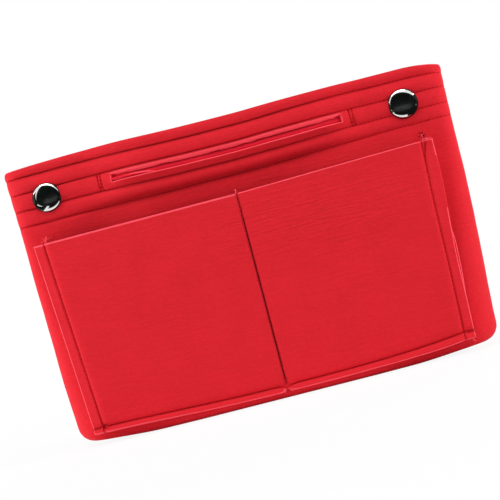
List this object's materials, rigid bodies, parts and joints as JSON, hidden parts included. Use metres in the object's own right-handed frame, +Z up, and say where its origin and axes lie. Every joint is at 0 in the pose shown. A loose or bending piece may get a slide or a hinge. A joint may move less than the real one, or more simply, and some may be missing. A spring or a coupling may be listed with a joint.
{
  "type": "felt purse organizer",
  "caption": "Slim open-topped felt pouch insert, pinched shut by press studs at both ends, with a letterbox slot pocket in the rim band and patch pockets in front.",
  "frame": {"origin": "middle of the flat underside of the base", "axes": "+X across the width to the right seen from the front, front with the pockets towards -Y, +Z up"},
  "size_m": [0.26, 0.0393, 0.165],
  "materials": {
    "red_felt": "smooth needle-punched felt",
    "facing_felt": "needle-punched felt, inner layer",
    "red_lining": "thin felt lining",
    "polished_nickel": "polished nickel plating"
  },
  "bodies": {
    "back": {"base_panel": "red_felt", "back_panel": "red_felt", "back_rim_facing": "facing_felt", "snap_stud_right": "polished_nickel", "snap_stud_left": "polished_nickel", "snap_post_right": "polished_nickel", "snap_post_left": "polished_nickel"},
    "front": {"front_panel": "red_felt", "front_rim_facing": "facing_felt", "slot_bag_front": "red_lining", "slot_bag_back": "red_lining", "snap_cap_right": "polished_nickel", "snap_cap_left": "polished_nickel", "snap_socket_right": "polished_nickel", "snap_socket_left": "polished_nickel", "pocket_gusset_right": "facing_felt", "pocket_gusset_left": "facing_felt"},
    "pocket_right": {"pocket_face_right": "red_felt"},
    "pocket_left": {"pocket_face_left": "red_felt"}
  },
  "joints": [
    {"name": "front_open", "type": "hinge", "parent": "back", "child": "front", "pos_m": [0, -0.01675, 0.00265], "axis": [1, 0, 0], "range_deg": [0, 9]},
    {"name": "pocket_right_open", "type": "hinge", "parent": "front", "child": "pocket_right", "pos_m": [0.055, -0.019, 0.0085], "axis": [1, 0, 0], "range_deg": [0, 6], "stiffness_Nm_per_rad": 0.5},
    {"name": "pocket_left_open", "type": "hinge", "parent": "front", "child": "pocket_left", "pos_m": [-0.055, -0.019, 0.0085], "axis": [1, 0, 0], "range_deg": [0, 6], "stiffness_Nm_per_rad": 0.5}
  ]
}
